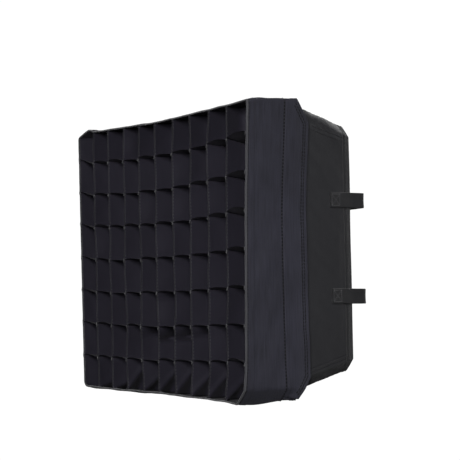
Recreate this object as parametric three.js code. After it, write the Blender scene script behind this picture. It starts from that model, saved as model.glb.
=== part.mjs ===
// Panel-light softbox with a fabric egg-crate grid, in millimetres.
// +Z is up, the lit front faces -Y, and +X is to the right seen from the front.
// The origin is on the front's centre line, in the plane of the rear opening, where the softbox
// seats on its light.

import * as THREE from 'three';

// ---- driving dimensions ----------------------------------------------------------------

const CELL = 36; // pitch of the egg-crate cells
const COLUMNS = 10;
const ROWS = 8;
const GAP = 0.3; // clearance kept between pieces that are sewn or pressed together

const FRONT_Y = -140; // the grid's front edge
const SEAM_Y = -95; // seam between the grid's skirt and its fastening flaps
const FLAP_END_Y = -68; // where the flaps end, and the body's walls bend
const RIM_Y = -94; // front rim of the softbox body
const REAR_Y = 0;

const FRONT_X = (CELL * COLUMNS) / 2;
const FRONT_Z = (CELL * ROWS) / 2;
const RIM_INSET = 3.7; // from the skirt's outer face to the body's front band
const RIM_X = FRONT_X - RIM_INSET;
const RIM_Z = FRONT_Z - RIM_INSET;
const BEND_INSET = 3; // how far the walls have leant in where they bend
const BEND_X = RIM_X - BEND_INSET;
const BEND_Z = RIM_Z - BEND_INSET;
const OPENING_X = 155; // half sizes of the rear opening's outer edge
const OPENING_Z = 122.5;
const BEND_RISE = 3; // the soft front hangs lower than the bend and the opening
const OPENING_RISE = 4;

const SKIRT_THICK = 1.2;
const STRIP_THICK = 0.6;
const STRIP_INSET = 0.4; // how far the strips stay behind the skirt's front edge
const STRIP_FRONT_Y = FRONT_Y + STRIP_INSET;
const STRIP_REAR_Y = RIM_Y - 2;
const SLOT_CLEARANCE = 0.6;

const CHAMFER_ALONG = 22; // cut-back corners of the flaps
const CHAMFER_DEEP = 13.5;
const HOOK_THICK = 0.8;
const HOOK_FROM_Y = SEAM_Y + 6;
const HOOK_TO_Y = FLAP_END_Y - 3;
const HOOK_END_INSET = 34;

const SHELL_THICK = 0.8;
const BOARD_THICK = 1.2;
const BOARD_MARGIN = 2; // from the board's edges to the seams round its pocket
const LINING_THICK = 0.5;
const CORNER_WIDTH = 17; // soft corner gusset, from the corner edge to the board's seam
const CORNER_RADIUS_FRONT = 5;
const CORNER_RADIUS_BEND = 7;
const CORNER_RADIUS_REAR = 15;
const CORNER_STEPS = 5;

const LOOP_THICK = 0.8;
const LOOP_FROM_Y = RIM_Y + 2;
const LOOP_TO_Y = RIM_Y + 22;

const HEM_DEEP = 9;
const HEM_THICK = 2.4;

const DIFFUSER_THICK = 0.6;
const DIFFUSER_HEM_THICK = 1.2;
const DIFFUSER_HEM_WIDE = 14;
const DIFFUSER_INSET = 0.6;

const STRAP_WIDE = 15;
const STRAP_THICK = 1.6;
const STRAP_Z = 48; // height of each strap's middle above and below the opening's middle
const ANCHOR_FROM_Y = -31;
const ANCHOR_TO_Y = -15;
const PANEL_DEEP = 16; // depth of the light's body that the straps reach round
const STRAP_TAIL = 45; // how far a strap's end reaches inwards behind the light
const STRAP_BEND = 4;
const STRAP_SLACK = 0.7; // from the body's rear edge to the strap

// ---- materials -------------------------------------------------------------------------

function fabric(color, roughness) {
  return new THREE.MeshStandardMaterial({ color, roughness, metalness: 0 });
}

const skirtNylon = fabric(0x2e2f38, 0.8);
const stripSatin = fabric(0x26262b, 0.6);
const shellNylon = fabric(0x232428, 0.85);
const boardPlastic = fabric(0x18181a, 0.6);
const silverLining = fabric(0xc4c6ca, 0.4);
const webbing = fabric(0x1b1b1e, 0.9);
const hookTape = fabric(0x131315, 1);
const diffuserCloth = fabric(0xf0f0ec, 0.9);

// ---- helpers ---------------------------------------------------------------------------

const softbox = new THREE.Group();

function add(name, geometry, material, parent = softbox) {
  const mesh = new THREE.Mesh(geometry, material);
  mesh.name = name;
  parent.add(mesh);
  return mesh;
}

// A box between two corners, given as [x, y, z].
function block(low, high) {
  const size = high.map((value, i) => value - low[i]);
  const middle = high.map((value, i) => (value + low[i]) / 2);
  return new THREE.BoxGeometry(...size).translate(...middle);
}

// An outline drawn in two axes and pushed along the third, from `from` to `to`.
// plane 'yz' pushes along X, 'xy' along Z.
function plate(points, plane, from, to) {
  const shape = new THREE.Shape(points.map(([a, b]) => new THREE.Vector2(a, b)));
  const geometry = new THREE.ExtrudeGeometry(shape, { depth: to - from, bevelEnabled: false });
  if (plane === 'yz') {
    geometry.applyMatrix4(new THREE.Matrix4().makeBasis(
      new THREE.Vector3(0, 1, 0), new THREE.Vector3(0, 0, 1), new THREE.Vector3(1, 0, 0)));
    return geometry.translate(from, 0, 0);
  }
  return geometry.translate(0, 0, from);
}

// A closed solid whose skin runs through a list of sections, each { outline, y } with as many
// [x, z] points, anticlockwise seen from the front. It is capped at both ends, the first facing
// the front, or, when `ring` is true, it closes on itself round a hole.
function skin(sections, ring = false) {
  const count = sections[0].outline.length;
  const positions = sections.flatMap(({ outline, y }) => outline.flatMap(([x, z]) => [x, y, z]));
  const faces = [];
  const bands = ring ? sections.length : sections.length - 1;
  for (let band = 0; band < bands; band += 1) {
    const here = band * count;
    const next = ((band + 1) % sections.length) * count;
    for (let i = 0; i < count; i += 1) {
      const j = (i + 1) % count;
      faces.push([here + i, next + i, here + j], [here + j, next + i, next + j]);
    }
  }
  if (!ring) {
    const contour = sections[0].outline.map(([x, z]) => new THREE.Vector2(x, z));
    const last = (sections.length - 1) * count;
    for (const [a, b, c] of THREE.ShapeUtils.triangulateShape(contour, [])) {
      faces.push([a, b, c], [last + a, last + c, last + b]);
    }
  }
  const geometry = new THREE.BufferGeometry();
  geometry.setAttribute('position', new THREE.Float32BufferAttribute(positions, 3));
  geometry.setIndex(faces.flat());
  geometry.computeVertexNormals();
  return geometry;
}

// ---- the body's outer half sizes, middle height and corners at a depth y ------------------
// The front band, which the flaps close on, is nearly square to the front. The walls lean in
// behind it.

function alongBody(y, atRim, atBend, atRear) {
  return y < FLAP_END_Y
    ? THREE.MathUtils.mapLinear(y, RIM_Y, FLAP_END_Y, atRim, atBend)
    : THREE.MathUtils.mapLinear(y, FLAP_END_Y, REAR_Y, atBend, atRear);
}

const bodyX = (y) => alongBody(y, RIM_X, BEND_X, OPENING_X);
const bodyZ = (y) => alongBody(y, RIM_Z, BEND_Z, OPENING_Z);
const bodyRise = (y) => alongBody(y, 0, BEND_RISE, OPENING_RISE);

function cornerRadius(y) {
  return alongBody(y, CORNER_RADIUS_FRONT, CORNER_RADIUS_BEND, CORNER_RADIUS_REAR);
}

// A section of the body at depth y, raised to where the body's middle is at that depth.
function bodySection(outline, y) {
  return { outline: outline.map(([x, z]) => [x, z + bodyRise(y)]), y };
}

// The depths that a body piece needs sections at, with the bend if the piece crosses it.
function bodyDepths(fromY, toY) {
  return [fromY, FLAP_END_Y, toY].filter((y) => y >= fromY && y <= toY);
}

// Turns an outline drawn for the top wall into the named wall's [x, z] points.
const WALLS = {
  top: { along: bodyX, out: bodyZ, turn: ([a, h]) => [a, h] },
  bottom: { along: bodyX, out: bodyZ, turn: ([a, h]) => [-a, -h] },
  left: { along: bodyZ, out: bodyX, turn: ([a, h]) => [-h, a] },
  right: { along: bodyZ, out: bodyX, turn: ([a, h]) => [h, -a] },
};

// One layer of a body wall: `under` is how far its outer face lies inside the shell's face.
function wallLayer(side, under, thick, endInset, fromY, toY) {
  const wall = WALLS[side];
  return skin(bodyDepths(fromY, toY).map((y) => {
    const half = wall.along(y) - endInset;
    const outer = wall.out(y) - under;
    const outline = [[-half, outer - thick], [half, outer - thick], [half, outer], [-half, outer]];
    return bodySection(outline.map(wall.turn), y);
  }));
}

// The arc of one body corner at depth y, from its top end to its side end, in the +X +Z corner.
function cornerArc(y, inset) {
  const radius = cornerRadius(y) - inset;
  const centreX = bodyX(y) - cornerRadius(y);
  const centreZ = bodyZ(y) - cornerRadius(y);
  return Array.from({ length: CORNER_STEPS + 1 }, (_, i) => {
    const angle = (Math.PI / 2) * (1 - i / CORNER_STEPS);
    return [centreX + radius * Math.cos(angle), centreZ + radius * Math.sin(angle)];
  });
}

// ---- the egg-crate grid --------------------------------------------------------------------

function buildSkirt() {
  const innerX = FRONT_X - SKIRT_THICK;
  const innerZ = FRONT_Z - SKIRT_THICK;
  const rearY = SEAM_Y - GAP;
  const sideZ = innerZ - GAP;
  add('skirt_top', block([-FRONT_X, FRONT_Y, innerZ], [FRONT_X, rearY, FRONT_Z]), skirtNylon);
  add('skirt_bottom', block([-FRONT_X, FRONT_Y, -FRONT_Z], [FRONT_X, rearY, -innerZ]), skirtNylon);
  add('skirt_left', block([-FRONT_X, FRONT_Y, -sideZ], [-innerX, rearY, sideZ]), skirtNylon);
  add('skirt_right', block([innerX, FRONT_Y, -sideZ], [FRONT_X, rearY, sideZ]), skirtNylon);
}

// The outline of a crossing strip: its length runs along the second axis, and it has one slot
// for each strip that crosses it, cut from its rear edge or from its front edge to mid-depth.
function slottedStrip(halfLength, crossings, slotFromRear) {
  const halfSlot = (STRIP_THICK + SLOT_CLEARANCE) / 2;
  const middle = (STRIP_FRONT_Y + STRIP_REAR_Y) / 2;
  const slotEnd = slotFromRear ? middle - GAP : middle + GAP;
  const slotted = slotFromRear ? STRIP_REAR_Y : STRIP_FRONT_Y;
  const plain = slotFromRear ? STRIP_FRONT_Y : STRIP_REAR_Y;
  const points = [[plain, -halfLength], [slotted, -halfLength]];
  for (const at of crossings) {
    points.push([slotted, at - halfSlot], [slotEnd, at - halfSlot]);
    points.push([slotEnd, at + halfSlot], [slotted, at + halfSlot]);
  }
  points.push([slotted, halfLength], [plain, halfLength]);
  return points;
}

function buildStrips() {
  const half = STRIP_THICK / 2;
  const columnX = Array.from({ length: COLUMNS - 1 }, (_, i) => (i + 1) * CELL - FRONT_X);
  const rowZ = Array.from({ length: ROWS - 1 }, (_, i) => (i + 1) * CELL - FRONT_Z);
  const upright = slottedStrip(FRONT_Z - SKIRT_THICK - GAP, rowZ, true);
  const level = slottedStrip(FRONT_X - SKIRT_THICK - GAP, columnX, false);
  columnX.forEach((x, i) => {
    add(`grid_upright_${i + 1}`, plate(upright, 'yz', x - half, x + half), stripSatin);
  });
  rowZ.forEach((z, i) => {
    const acrossXY = level.map(([y, x]) => [x, y]);
    add(`grid_level_${i + 1}`, plate(acrossXY, 'xy', z - half, z + half), stripSatin);
  });
}

// A flap and the hook tape inside it. It is drawn for the top, with `outer` as its height, and
// turned about the Y axis into place.
function buildFlap(side, halfLength, outer, turn) {
  const fromY = SEAM_Y + GAP;
  const outline = [
    [-halfLength, fromY],
    [halfLength, fromY],
    [halfLength, FLAP_END_Y - CHAMFER_DEEP],
    [halfLength - CHAMFER_ALONG, FLAP_END_Y],
    [CHAMFER_ALONG - halfLength, FLAP_END_Y],
    [-halfLength, FLAP_END_Y - CHAMFER_DEEP],
  ];
  const holder = new THREE.Group();
  holder.rotation.y = turn;
  softbox.add(holder);
  add(`flap_${side}`, plate(outline, 'xy', outer - SKIRT_THICK, outer), skirtNylon, holder);
  const hookTop = outer - SKIRT_THICK - GAP;
  const hookHalf = halfLength - HOOK_END_INSET;
  add(`flap_hook_${side}`, block([-hookHalf, HOOK_FROM_Y, hookTop - HOOK_THICK],
    [hookHalf, HOOK_TO_Y, hookTop]), hookTape, holder);
}

function buildFlaps() {
  const quarter = Math.PI / 2;
  const sideHalf = FRONT_Z - SKIRT_THICK - GAP;
  buildFlap('top', FRONT_X, FRONT_Z, 0);
  buildFlap('right', sideHalf, FRONT_X, quarter);
  buildFlap('bottom', FRONT_X, FRONT_Z, 2 * quarter);
  buildFlap('left', sideHalf, FRONT_X, 3 * quarter);
}

// ---- the softbox body ------------------------------------------------------------------------

function buildWalls() {
  const shellEndY = REAR_Y - HEM_DEEP - GAP;
  const boardUnder = SHELL_THICK + GAP;
  const liningUnder = boardUnder + BOARD_THICK + GAP;
  for (const side of Object.keys(WALLS)) {
    add(`shell_${side}`,
      wallLayer(side, 0, SHELL_THICK, CORNER_WIDTH, RIM_Y, shellEndY), shellNylon);
    add(`board_${side}`,
      wallLayer(side, boardUnder, BOARD_THICK, CORNER_WIDTH + BOARD_MARGIN,
        FLAP_END_Y + BOARD_MARGIN, shellEndY - BOARD_MARGIN), boardPlastic);
    add(`lining_${side}`,
      wallLayer(side, liningUnder, LINING_THICK, CORNER_WIDTH, RIM_Y, shellEndY), silverLining);
    add(`loop_tape_${side}`,
      wallLayer(side, -GAP - LOOP_THICK, LOOP_THICK, HOOK_END_INSET, LOOP_FROM_Y, LOOP_TO_Y),
      hookTape);
  }
}

// A soft corner: two short legs joined by the rounded corner, a shell's thickness deep.
function cornerSection(y) {
  const legX = bodyX(y) - CORNER_WIDTH + GAP;
  const legZ = bodyZ(y) - CORNER_WIDTH + GAP;
  const outer = [[legX, bodyZ(y)], ...cornerArc(y, 0), [bodyX(y), legZ]];
  const inner = [[legX, bodyZ(y) - SHELL_THICK], ...cornerArc(y, SHELL_THICK),
    [bodyX(y) - SHELL_THICK, legZ]];
  return [...outer, ...inner.reverse()];
}

function buildCorners() {
  const endY = REAR_Y - HEM_DEEP - GAP;
  const corners = {
    top_right: [1, 1], top_left: [-1, 1], bottom_left: [-1, -1], bottom_right: [1, -1],
  };
  for (const [name, [signX, signZ]] of Object.entries(corners)) {
    const sections = bodyDepths(RIM_Y, endY).map((y) => {
      const outline = cornerSection(y).map(([x, z]) => [signX * x, signZ * z]);
      return bodySection(signX * signZ > 0 ? outline.reverse() : outline, y);
    });
    add(`corner_${name}`, skin(sections), shellNylon);
  }
}

// The whole rounded outline of the body at depth y, anticlockwise seen from the front.
function bodyOutline(y, inset) {
  const arc = cornerArc(y, inset);
  const mirrored = (signX, signZ) => arc.map(([x, z]) => [signX * x, signZ * z]);
  return [
    ...mirrored(1, 1).reverse(),
    ...mirrored(-1, 1),
    ...mirrored(-1, -1).reverse(),
    ...mirrored(1, -1),
  ];
}

function buildRearHem() {
  const fromY = REAR_Y - HEM_DEEP;
  const section = (y, inset) => bodySection(bodyOutline(y, inset), y);
  const sections = [
    section(fromY, 0),
    section(REAR_Y, 0),
    section(REAR_Y, HEM_THICK),
    section(fromY, HEM_THICK),
  ];
  add('rear_hem', skin(sections, true), webbing);
}

// The front cloth: a thin sheet with a thicker hem all round, which lies on the body's rim.
function buildDiffuser() {
  const halfX = RIM_X - DIFFUSER_INSET;
  const halfZ = RIM_Z - DIFFUSER_INSET;
  const rear = RIM_Y - GAP;
  const hemFront = rear - DIFFUSER_HEM_THICK;
  const clothFront = rear - DIFFUSER_THICK;
  const rectangle = (inset, y) => {
    const [x, z] = [halfX - inset, halfZ - inset];
    return { outline: [[x, z], [-x, z], [-x, -z], [x, -z]], y };
  };
  const sections = [
    rectangle(DIFFUSER_HEM_WIDE, clothFront),
    rectangle(DIFFUSER_HEM_WIDE, hemFront),
    rectangle(0, hemFront),
    rectangle(0, rear),
  ];
  add('front_diffuser', skin(sections), diffuserCloth);
}

// ---- the straps that hold the softbox on its light ---------------------------------------------

// The outline of a flat band that follows a line of [x, y] points, `thick` to its left.
function bandOutline(line, thick) {
  const points = line.map(([x, y]) => new THREE.Vector2(x, y));
  const normals = points.slice(1).map((point, i) => {
    const run = point.clone().sub(points[i]).normalize();
    return new THREE.Vector2(-run.y, run.x);
  });
  const offset = points.map((point, i) => {
    const before = normals[Math.max(i - 1, 0)];
    const after = normals[Math.min(i, normals.length - 1)];
    const mitre = before.clone().add(after).normalize();
    return point.clone().addScaledVector(mitre, thick / mitre.dot(after));
  });
  return [...points, ...offset.reverse()].map((point) => [point.x, point.y]);
}

// The inner face of a right-hand strap: along the body's side, along the light's side, and
// round the light's rear edge.
function strapLine() {
  const sideX = OPENING_X + STRAP_SLACK;
  const rearY = REAR_Y + PANEL_DEEP;
  const startY = ANCHOR_TO_Y + 2 * GAP;
  const line = [[bodyX(startY) + 2 * GAP, startY], [sideX, REAR_Y]];
  const steps = 4;
  for (let i = 0; i <= steps; i += 1) {
    const angle = (Math.PI / 2) * (i / steps);
    line.push([sideX - STRAP_BEND * (1 - Math.cos(angle)), rearY - STRAP_BEND * (1 - Math.sin(angle))]);
  }
  line.push([sideX - STRAP_TAIL, rearY]);
  return line;
}

function anchorLine() {
  return [ANCHOR_FROM_Y, ANCHOR_TO_Y].map((y) => [bodyX(y) + 2 * GAP, y]);
}

function buildStraps() {
  const right = (outline) => outline;
  const left = (outline) => outline.map(([x, y]) => [-x, y]).reverse();
  const outlines = {
    strap: bandOutline(strapLine().reverse(), STRAP_THICK),
    strap_anchor: bandOutline(anchorLine().reverse(), STRAP_THICK),
  };
  const levels = { upper: OPENING_RISE + STRAP_Z, lower: OPENING_RISE - STRAP_Z };
  for (const [level, z] of Object.entries(levels)) {
    for (const [side, place] of Object.entries({ right, left })) {
      for (const [kind, outline] of Object.entries(outlines)) {
        const low = z - STRAP_WIDE / 2;
        add(`${kind}_${side}_${level}`, plate(place(outline), 'xy', low, low + STRAP_WIDE), webbing);
      }
    }
  }
}

buildSkirt();
buildStrips();
buildFlaps();
buildWalls();
buildCorners();
buildRearHem();
buildDiffuser();
buildStraps();

export default softbox;
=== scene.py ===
"""Looks of a panel-light softbox with a fabric egg-crate grid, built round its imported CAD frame."""

import math
from functools import partial

import bpy
import numpy as np
from mathutils import Matrix, Vector


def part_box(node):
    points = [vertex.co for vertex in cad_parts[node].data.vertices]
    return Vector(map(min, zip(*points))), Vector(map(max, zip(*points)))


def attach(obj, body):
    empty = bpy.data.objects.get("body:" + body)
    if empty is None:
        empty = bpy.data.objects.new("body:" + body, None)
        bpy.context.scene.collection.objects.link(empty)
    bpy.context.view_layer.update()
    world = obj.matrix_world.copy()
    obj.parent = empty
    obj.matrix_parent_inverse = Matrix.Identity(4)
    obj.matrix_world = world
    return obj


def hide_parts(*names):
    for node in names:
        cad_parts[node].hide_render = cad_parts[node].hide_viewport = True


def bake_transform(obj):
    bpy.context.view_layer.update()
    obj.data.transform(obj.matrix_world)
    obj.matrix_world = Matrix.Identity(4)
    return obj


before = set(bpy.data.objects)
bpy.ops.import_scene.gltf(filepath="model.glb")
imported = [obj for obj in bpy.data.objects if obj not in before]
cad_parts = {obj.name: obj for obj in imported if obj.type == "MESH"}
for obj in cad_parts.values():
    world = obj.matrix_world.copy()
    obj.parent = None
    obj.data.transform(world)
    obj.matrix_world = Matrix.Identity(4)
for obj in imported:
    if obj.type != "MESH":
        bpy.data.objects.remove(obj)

MM = 0.001
TAU = 2 * math.pi
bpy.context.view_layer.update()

# ---- sizes, read from the frame -------------------------------------

FRONT_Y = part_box("skirt_top")[0].y
SEAM_Y = 0.5 * (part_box("skirt_top")[1].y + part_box("flap_top")[0].y)
FLAP_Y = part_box("flap_top")[1].y
HALF_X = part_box("skirt_right")[1].x
HALF_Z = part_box("skirt_top")[1].z
SKIRT_DEPTH = SEAM_Y - FRONT_Y
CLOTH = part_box("skirt_top")[1].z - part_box("skirt_top")[0].z

STRIP_FRONT, STRIP_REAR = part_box("grid_upright_1")[0].y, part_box("grid_upright_1")[1].y
STRIP_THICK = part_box("grid_upright_1")[1].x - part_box("grid_upright_1")[0].x
COLUMNS = sum(name.startswith("grid_upright_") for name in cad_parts) + 1
ROWS = sum(name.startswith("grid_level_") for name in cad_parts) + 1
CELL = 2 * HALF_X / COLUMNS

RIM_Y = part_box("shell_top")[0].y
RIM_X, RIM_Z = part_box("shell_right")[1].x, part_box("shell_top")[1].z
HEM_LOW, HEM_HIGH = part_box("rear_hem")
REAR_Y = HEM_HIGH.y
SIDES = ("top", "right", "bottom", "left")
BOARD_LOW, BOARD_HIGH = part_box("board_right")
BOARD_UNDER, BOARD_INSET = 1.1 * MM, 19 * MM
SHELL_THICK = 0.8 * MM
LINING_UNDER = 2.6 * MM
CORNER_WIDTH = 17 * MM
TAPE_THICK = 0.7 * MM

# ---- camera, light and floor ----------------------------------------

CAMERA_AZIMUTH, CAMERA_ELEVATION, CAMERA_ROLL = 59.4, -2.32, -1.04
CAMERA_DISTANCE, CAMERA_LENS = 1.85, 135.4
CAMERA_TARGET = Vector((0, -0.050, 0.029))

# Each lamp's azimuth and elevation in degrees, distance, width and height, and power in watts.
LAMPS = {
    "key": (55, 8, 2.6, (0.5, 0.55), 45),
    "side": (96, 45, 2.8, (1.0, 0.8), 26),
    "front": (5, 12, 3.0, (0.8, 0.8), 9),
    "rear": (205, 30, 2.8, (1.4, 1.4), 40),
}
WHITE, SKY = (1, 1, 1, 1), (0.93, 0.95, 1, 1)
BACKDROP_STRENGTH, SKY_STRENGTH = 1.05, 0.028
FLOOR_RADIUS, FLOOR_HEIGHT = 6.5, -0.9
FLOOR_COLOR, FLOOR_PALE = (0.10, 0.10, 0.10, 1), 0.68


def add_object(name, data):
    added = bpy.data.objects.new(name, data)
    bpy.context.scene.collection.objects.link(added)
    return added


def fill(tree, node, inputs):
    """Sets a node's inputs, or links those whose value is another node's output."""
    for key, value in inputs.items():
        if isinstance(value, bpy.types.NodeSocket):
            tree.links.new(value, node.inputs[key])
        else:
            node.inputs[key].default_value = value


def add_node(tree, kind, inputs=None, operation=None):
    node = tree.nodes.new(f"ShaderNode{kind}")
    if operation:
        node.operation = operation
    fill(tree, node, inputs or {})
    return node


def bearing(azimuth, elevation):
    """The direction of something seen at an azimuth from the front and an elevation, in degrees."""
    a, e = math.radians(azimuth), math.radians(elevation)
    return Vector((math.sin(a) * math.cos(e), -math.cos(a) * math.cos(e), math.sin(e)))


def make_camera():
    data = bpy.data.cameras.new("camera")
    data.lens = CAMERA_LENS
    camera = add_object("camera", data)
    back = bearing(CAMERA_AZIMUTH, CAMERA_ELEVATION)
    camera.location = CAMERA_TARGET + back * CAMERA_DISTANCE
    aim = (-back).to_track_quat("-Z", "Y").to_matrix().to_4x4()
    roll = Matrix.Rotation(math.radians(CAMERA_ROLL), 4, "Z")
    camera.rotation_euler = (aim @ roll).to_euler()
    bpy.context.scene.camera = camera


def make_lamp(name, azimuth, elevation, distance, size, power):
    data = bpy.data.lights.new(name, "AREA")
    data.shape = "RECTANGLE"
    data.size, data.size_y = size
    data.energy = power
    lamp = add_object(name, data)
    lamp.location = distance * bearing(azimuth, elevation)
    lamp.rotation_euler = (-lamp.location).to_track_quat("-Z", "Y").to_euler()


def make_studio():
    """A backdrop that is white to the camera and throws only faint light, and the lamps."""
    world = bpy.data.worlds.new("studio")
    world.use_nodes = True
    tree = world.node_tree
    seen = add_node(tree, "LightPath").outputs["Is Camera Ray"]
    sky, backdrop = (add_node(tree, "Background", {"Color": color, "Strength": strength}).outputs[0]
                     for color, strength in ((SKY, SKY_STRENGTH), (WHITE, BACKDROP_STRENGTH)))
    mix = add_node(tree, "MixShader", {"Fac": seen, 1: sky, 2: backdrop})
    fill(tree, tree.nodes["World Output"], {"Surface": mix.outputs[0]})
    bpy.context.scene.world = world
    bpy.context.scene.view_settings.view_transform = "Standard"
    for name, lamp in LAMPS.items():
        make_lamp(name, *lamp)


def make_floor():
    """A pale floor that throws little light back up, so that undersides stay dark."""
    nodes = Nodes("floor_paint")
    seen = nodes.new("LightPath").outputs["Is Camera Ray"]
    nodes.set({"Base Color": FLOOR_COLOR, "Roughness": 0.9, "Emission Color": WHITE,
               "Emission Strength": nodes.math("MULTIPLY", seen, FLOOR_PALE)})
    mesh = bpy.data.meshes.new("floor")
    ring = [(FLOOR_RADIUS * math.cos(a), FLOOR_RADIUS * math.sin(a), FLOOR_HEIGHT)
            for a in np.linspace(0, TAU, 96, endpoint=False)]
    mesh.from_pydata(ring, [], [list(range(len(ring)))])
    mesh.materials.append(nodes.material)
    add_object("floor", mesh)


# ---- materials ------------------------------------------------------


class Nodes:
    """Short calls for building one material's nodes."""

    def __init__(self, name):
        self.material = bpy.data.materials.new(name)
        self.material.use_nodes = True
        self.tree = self.material.node_tree
        self.shader = self.tree.nodes["Principled BSDF"]
        self.coordinates = self.new("TexCoord")

    def new(self, kind, inputs=None, operation=None):
        return add_node(self.tree, kind, inputs, operation)

    def set(self, inputs):
        fill(self.tree, self.shader, inputs)

    def math(self, operation, *values):
        return self.new("Math", dict(enumerate(values)), operation).outputs[0]

    def noise(self, scale, detail=4, stretch=(1, 1, 1), space="Object"):
        mapping = self.new("Mapping", {"Scale": [scale * s for s in stretch],
                                       "Vector": self.coordinates.outputs[space]})
        return self.new("TexNoise", {"Scale": 1, "Detail": detail,
                                     "Vector": mapping.outputs[0]}).outputs["Fac"]

    def span(self, value, low, high, from_low=0.3, from_high=0.7):
        return self.new("MapRange", {"Value": value, "From Min": from_low, "From Max": from_high,
                                     "To Min": low, "To Max": high}).outputs["Result"]

    def tint(self, color, factor):
        """The colour, made lighter or darker by a factor that varies over the surface."""
        self.set({"Base Color": self.new("VectorMath", {0: color, "Scale": factor}, "SCALE").outputs[0]})

    def bump(self, height, distance, strength=1.0):
        """A bump on top of those before it."""
        inputs = {"Distance": distance, "Strength": strength, "Height": height}
        previous = self.shader.inputs["Normal"]
        if previous.is_linked:
            inputs["Normal"] = previous.links[0].from_socket
        self.set({"Normal": self.new("Bump", inputs).outputs[0]})

    def threads(self, pitch_u, pitch_v):
        """Height of a plain weave with pitches in mm, or of ribs where one pitch is None."""
        split = self.new("SeparateXYZ", {0: self.coordinates.outputs["UV"]})
        waves = [self.math("SINE", self.math("MULTIPLY", axis, TAU / (pitch * MM)))
                 for axis, pitch in zip(split.outputs[:2], (pitch_u, pitch_v)) if pitch]
        return waves[0] if len(waves) == 1 else self.math("MULTIPLY", *waves)


def fabric_material(name, color, weave, roughness, sheen, bump=0.06, patchy=0.12, gloss=0.3):
    """Blotchy, streaky woven cloth. weave holds its thread pitches and bump their height, in mm."""
    nodes = Nodes(name)
    blotches = nodes.noise(14, detail=5)
    streaks = nodes.noise(700, detail=3, stretch=(0.05, 1, 1), space="UV")
    uneven = nodes.math("ADD", nodes.span(blotches, 1 - patchy, 1 + patchy),
                        nodes.span(streaks, -0.8 * patchy, 0.8 * patchy))
    height = nodes.threads(*weave)
    nodes.tint(color, nodes.math("MULTIPLY", uneven, nodes.span(height, 0.88, 1.12, -1, 1)))
    nodes.set({"Roughness": roughness, "Sheen Weight": sheen, "Sheen Roughness": 0.45,
               "Specular IOR Level": gloss})
    nodes.bump(nodes.noise(60, detail=5), 0.5 * MM, 0.35)
    nodes.bump(height, bump * MM, 0.8)
    return nodes.material


def fuzzy_material(name, color):
    nodes = Nodes(name)
    hooks = nodes.noise(2200, detail=2)
    nodes.tint(color, nodes.span(hooks, 0.55, 1.6))
    nodes.set({"Roughness": 0.95, "Sheen Weight": 0.35})
    nodes.bump(hooks, 0.4 * MM)
    return nodes.material


def silver_material(name, color):
    nodes = Nodes(name)
    creases = nodes.noise(55, detail=7)
    nodes.tint(color, nodes.span(creases, 0.85, 1.1))
    nodes.set({"Metallic": 0.75, "Roughness": nodes.span(nodes.noise(25), 0.36, 0.5)})
    nodes.bump(creases, 1.2 * MM, 0.5)
    nodes.bump(nodes.threads(0.9, 0.9), 0.05 * MM, 0.6)
    return nodes.material


def diffuser_material(name, color):
    nodes = Nodes(name)
    nodes.tint(color, nodes.span(nodes.noise(20), 0.95, 1.03))
    nodes.set({"Roughness": 0.85, "Subsurface Weight": 0.2, "Subsurface Scale": 4 * MM,
               "Subsurface Radius": (1, 1, 1)})
    nodes.bump(nodes.noise(18, detail=3), 0.8 * MM, 0.4)
    nodes.bump(nodes.threads(0.45, 0.45), 0.04 * MM, 0.6)
    return nodes.material


def board_material(name, color):
    nodes = Nodes(name)
    grain = nodes.noise(700, detail=3)
    nodes.tint(color, nodes.span(grain, 0.85, 1.2))
    nodes.set({"Roughness": 0.55})
    nodes.bump(grain, 0.1 * MM, 0.5)
    return nodes.material


THREAD = (None, 0.4)
MATERIALS = {
    "skirt": fabric_material("skirt_nylon", (0.0207, 0.0204, 0.0308), (0.55, 0.7), 0.72, 0.06, 0.08, 0.3),
    "strip": fabric_material("grid_satin", (0.0225, 0.0206, 0.0300), (0.28, 0.34), 0.6, 0.03, 0.02, 0.08,
                             gloss=0.14),
    # The folded edge is made lighter than the skirt: a painted highlight where the fold catches the light.
    "edge": fabric_material("folded_edge_painted_highlight", (0.047, 0.047, 0.054), (0.9, 0.6), 0.7, 0.3, 0.12, 0.35),
    "strip_edge": fabric_material("strip_edge", (0.017, 0.016, 0.021), (0.6, 0.6), 0.6, 0.15, 0.05, 0.3),
    "shell": fabric_material("shell_nylon", (0.017, 0.017, 0.020), (0.6, 0.6), 0.7, 0.10),
    "webbing": fabric_material("webbing", (0.013, 0.013, 0.015), (None, 1.1), 0.75, 0.15, 0.25),
    "hook": fuzzy_material("hook_and_loop", (0.011, 0.011, 0.012)),
    "silver": silver_material("silver_coating", (0.62, 0.63, 0.65)),
    "diffuser": diffuser_material("diffusion_cloth", (0.84, 0.84, 0.82)),
    "board": board_material("stiffener_board", (0.012, 0.012, 0.013)),
    "dark_thread": fabric_material("dark_thread", (0.003, 0.003, 0.004), THREAD, 0.7, 0.0),
    "elastic": fabric_material("elastic", (0.014, 0.014, 0.016), (0.9, 1.4), 0.8, 0.2, 0.2),
    "white_thread": fabric_material("white_thread", (0.7, 0.7, 0.68), THREAD, 0.6, 0.2),
    "light_thread": fabric_material("light_thread", (0.085, 0.085, 0.092), THREAD, 0.6, 0.2),
}

# ---- mesh helpers ---------------------------------------------------


def smoothstep(value, low, high):
    t = np.clip((value - low) / (high - low), 0, 1)
    return t * t * (3 - 2 * t)


def through(x, points):
    """A value in metres at each x, from listed (x, value) pairs in millimetres."""
    places, values = np.array(points).T * MM
    return np.interp(x, places, values)


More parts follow.
